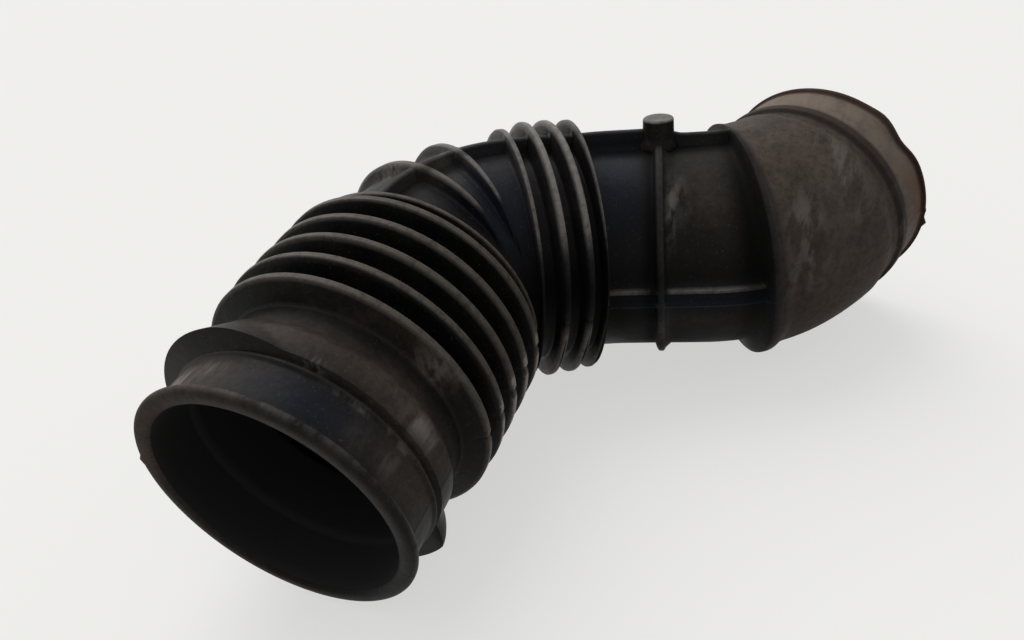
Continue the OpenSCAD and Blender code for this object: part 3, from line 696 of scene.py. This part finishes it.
def rubber_colour(tree, wear, pattern):
    """Colour in layers, from bare black rubber up: each layer is its colour and its mask's parts."""
    station, dust_and_sheen = wear["station"], wear["dust_and_sheen"]
    grain, cloud, patch = pattern["grain"], pattern["cloud"], pattern["patch"]
    # Painted highlight on the crests, broken up by the grain
    crest_highlight = product(tree, [wear["crest"], (grain, 0.3, 0.6, 0.7, 1.0)])
    clean = add_node(tree, "Math", (1.0, product(tree, [dust_and_sheen, 0.6])), operation="SUBTRACT")
    tones = [
        ("#0C0B0B", "#181614", (cloud, 0.35, 0.7)),
        ("#4A413A", "#5A5049", (patch, 0.35, 0.65)),
        ("#5A544D", "#7A7671", (station, THIN_AT, MID_AT)),
    ]
    bare, brown, pale = [
        add_node(tree, "Mix", {FACTOR: product(tree, [step]), UNDER: a, OVER: b}, MIXED, data_type="RGBA")
        for a, b, step in tones
    ]
    sheen_blue, bare_seat, palest, groove_shade = "#111926", "#74685D", "#96938E", "#2A2420"
    rust, rust_dark, scuffed, speckled = "#70462C", "#2E1E17", "#857F79", "#6A6661"
    black, shade_black = "#0B0A0A", "#050505"
    layers = [
        # Painted bluish reflection of the window
        (sheen_blue, [wear["painted_sheen"], 0.75]),
        # Grey-brown dust, with one painted brown sheen on the tube
        (brown, [dust_and_sheen, (cloud, 0.28, 0.62, 0.62, 1.0), (grain, 0.34, 0.62, 0.7, 1.0)]),
        (bare_seat, [(station, STEP_AT + 2.0, STEP_AT + 4.5), (cloud, 0.3, 0.6, 0.4, 0.9)]),
        # Painted highlight on the crests, paler on the far folds and palest where it passes 1
        (pale, [crest_highlight]),
        (palest, [(crest_highlight, 1.0, 1.6)]),
        # Painted shade in the groove round the step of the far cuff
        (groove_shade, [(station, STEP_AT - 4.0, STEP_AT - 2.2),
                       (station, STEP_AT + 3.6, STEP_AT + 2.2), 0.6]),
        (rust, [(station, END - 13.0, END - 5.0), (patch, 0.42, 0.6), (grain, 0.35, 0.6, 0.5, 1.0), 0.6]),
        (rust_dark, [(station, END - 3.2, END - 2.0), (patch, 0.25, 0.5, 0.75, 1.0)]),
        (scuffed, [wear["scuff"], (pattern["streak"], 0.42, 0.62), 0.8]),
        (speckled, [(pattern["speck"], 0.58, 0.76), 0.3]),
        (black, [(grain, 0.55, 0.3), clean, 0.3]),
        # Painted shade between the folds and beside the ribs
        (shade_black, [wear["painted_shade"], 0.85]),
    ]
    colour = bare
    for over, parts in layers:
        sockets = {FACTOR: product(tree, parts), UNDER: colour, OVER: over}
        colour = add_node(tree, "Mix", sockets, MIXED, data_type="RGBA")
    return colour


def make_rubber():
    """Moulded EPDM rubber, matt black under wear.

    Dust turns it brown-grey on the two cuffs, with one painted brown sheen on the tube; painted highlight
    pales the crests, rust water stains the far rim, a painted bluish reflection lies on the band, the fans
    and the tube, and painted shade blackens what lies between folds and beside the ribs. The grain is
    drawn coarser than the mould's own, so that it shows at this distance.
    """
    mat, tree = new_material("epdm_rubber_dust_and_painted_light")
    names = ("station", "crest", "dust_and_sheen", "scuff", "painted_sheen", "painted_shade")
    wear = {name: add_node(tree, "Attribute", output="Fac", attribute_name=name) for name in names}
    pattern = rubber_patterns(tree)
    rough = product(tree, [(pattern["cloud"], 0.3, 0.7, 0.38, 0.50)])
    for name, amount in (("dust_and_sheen", 0.22), ("painted_shade", 0.35), ("painted_sheen", -0.08)):
        rough = add_node(tree, "Math", (rough, product(tree, [wear[name], amount])), operation="ADD")
    relief = {"Height": pattern["grain"], "Strength": GRAIN_STRENGTH, "Distance": GRAIN_DEPTH * MM}
    surface = add_node(tree, "BsdfPrincipled", {
        "Base Color": rubber_colour(tree, wear, pattern),
        "Roughness": rough,
        "Specular IOR Level": RUBBER_SPECULAR,
        "Normal": add_node(tree, "Bump", relief),
    })
    add_node(tree, "OutputMaterial", {"Surface": surface})
    return mat


def make_inside():
    """Moulded EPDM rubber inside the hose: dark grey and matt, and almost black in its own shade."""
    mat, tree = new_material("epdm_rubber_inside")
    surface = add_node(tree, "BsdfPrincipled", {
        "Base Color": "#2A2A2A",
        "Roughness": 0.9,
        "Specular IOR Level": INSIDE_SPECULAR,
    })
    add_node(tree, "OutputMaterial", {"Surface": surface})
    return mat


def seen_directly(tree):
    """1 for a ray from the camera, a reflection or glass, and 0 for the light that falls on things."""
    seen = add_node(tree, "LightPath", output="Is Camera Ray")
    for ray in ("Is Glossy Ray", "Is Transmission Ray"):
        other = add_node(tree, "LightPath", output=ray)
        seen = add_node(tree, "Math", (seen, other), operation="MAXIMUM")
    return seen


def make_floor():
    """Matt painted table top, white when seen; its bounce light on the hose is that of a grey board."""
    mat, tree = new_material("painted_table_top")
    seen = seen_directly(tree)
    tone = {FACTOR: seen, UNDER: "#A09E9A", OVER: "#EAE8E2"}
    paint = add_node(tree, "BsdfPrincipled", {
        "Base Color": add_node(tree, "Mix", tone, MIXED, data_type="RGBA"),
        "Roughness": 0.9,
        "Specular IOR Level": 0.1,
    })
    glow = add_node(tree, "Emission", {"Color": "#F1F1F0"})
    surface = add_node(tree, "MixShader", (product(tree, [seen, FLOOR_GLOW]), paint, glow))
    add_node(tree, "OutputMaterial", {"Surface": surface})
    return mat


def add_floor(mat):
    """A plain table top under everything, larger than the camera sees."""
    mesh = bpy.data.meshes.new("table_top")
    w = FLOOR_HALF
    corners = [(-w, -w, 0), (w, -w, 0), (w, w, 0), (-w, w, 0)]
    mesh.from_pydata(corners, [], [(0, 1, 2, 3)])
    floor = bpy.data.objects.new("table_top", mesh)
    bpy.context.collection.objects.link(floor)
    floor.data.materials.append(mat)
    return floor


def add_sun(name, source, strength, spread):
    """Soft daylight from the direction of source, with shadows spread over that many degrees."""
    lamp = bpy.data.lights.new(name, "SUN")
    lamp.energy, lamp.angle = strength, math.radians(spread)
    obj = bpy.data.objects.new(name, lamp)
    obj.location = source
    obj.rotation_euler = (-Vector(source)).to_track_quat("-Z", "Y").to_euler()
    bpy.context.collection.objects.link(obj)
    return obj


def add_world(strength):
    """Pale room light all round, which is white where it is seen directly."""
    world = bpy.data.worlds.new("room")
    bpy.context.scene.world = world
    world.use_nodes = True
    tree = world.node_tree
    tree.nodes.clear()
    level = add_node(tree, "Mix", {"Factor": seen_directly(tree), "A": strength, "B": 1.0})
    room = add_node(tree, "Background", {"Color": "#F2F3F5", "Strength": level})
    add_node(tree, "OutputWorld", {"Surface": room})
    return world


# Camera: focal length in pixels of the photograph, place from the near mouth, and the three turns
PHOTO_WIDTH, FOCAL_PIXELS, SENSOR_WIDTH = 1024, 791.66, 36.0
CAMERA_FROM_MOUTH = (148.57, -109.30, 150.52)
CAMERA_AZIMUTH, CAMERA_ELEVATION, CAMERA_ROLL = 28.86, 32.45, -12.14


def add_camera():
    """Camera at the photograph's angle: turned to its azimuth, looking down, then rolled."""
    data = bpy.data.cameras.new("camera")
    data.sensor_width = SENSOR_WIDTH
    data.lens = FOCAL_PIXELS / PHOTO_WIDTH * SENSOR_WIDTH
    data.clip_start = 10.0 * MM
    cam = bpy.data.objects.new("camera", data)
    turn = Matrix.Rotation(math.radians(CAMERA_AZIMUTH), 4, "Z")
    tilt = Matrix.Rotation(math.radians(90.0 - CAMERA_ELEVATION), 4, "X")
    roll = Matrix.Rotation(math.radians(CAMERA_ROLL), 4, "Z")
    mouth = Vector((-CENTRE_X, -CENTRE_Y, MOUTH_HEIGHT))
    place = Matrix.Translation((mouth + Vector(CAMERA_FROM_MOUTH)) * MM)
    cam.matrix_world = place @ turn @ tilt @ roll
    bpy.context.collection.objects.link(cam)
    bpy.context.scene.camera = cam
    return cam


rubber = make_rubber()
skin = build_skin()
boss = build_boss()
for piece in (skin, boss):
    piece.data.materials.append(rubber)
    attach(piece, "root")
skin.data.materials.append(make_inside())
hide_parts("hose")

add_floor(make_floor())
add_sun("window", (-0.5, 0.45, 1.0), 1.9, 60.0)
add_sun("sky", (-0.2, 0.6, 0.9), 0.7, 140.0)
add_world(0.36)
add_camera()
bpy.context.scene.view_settings.view_transform = "Standard"
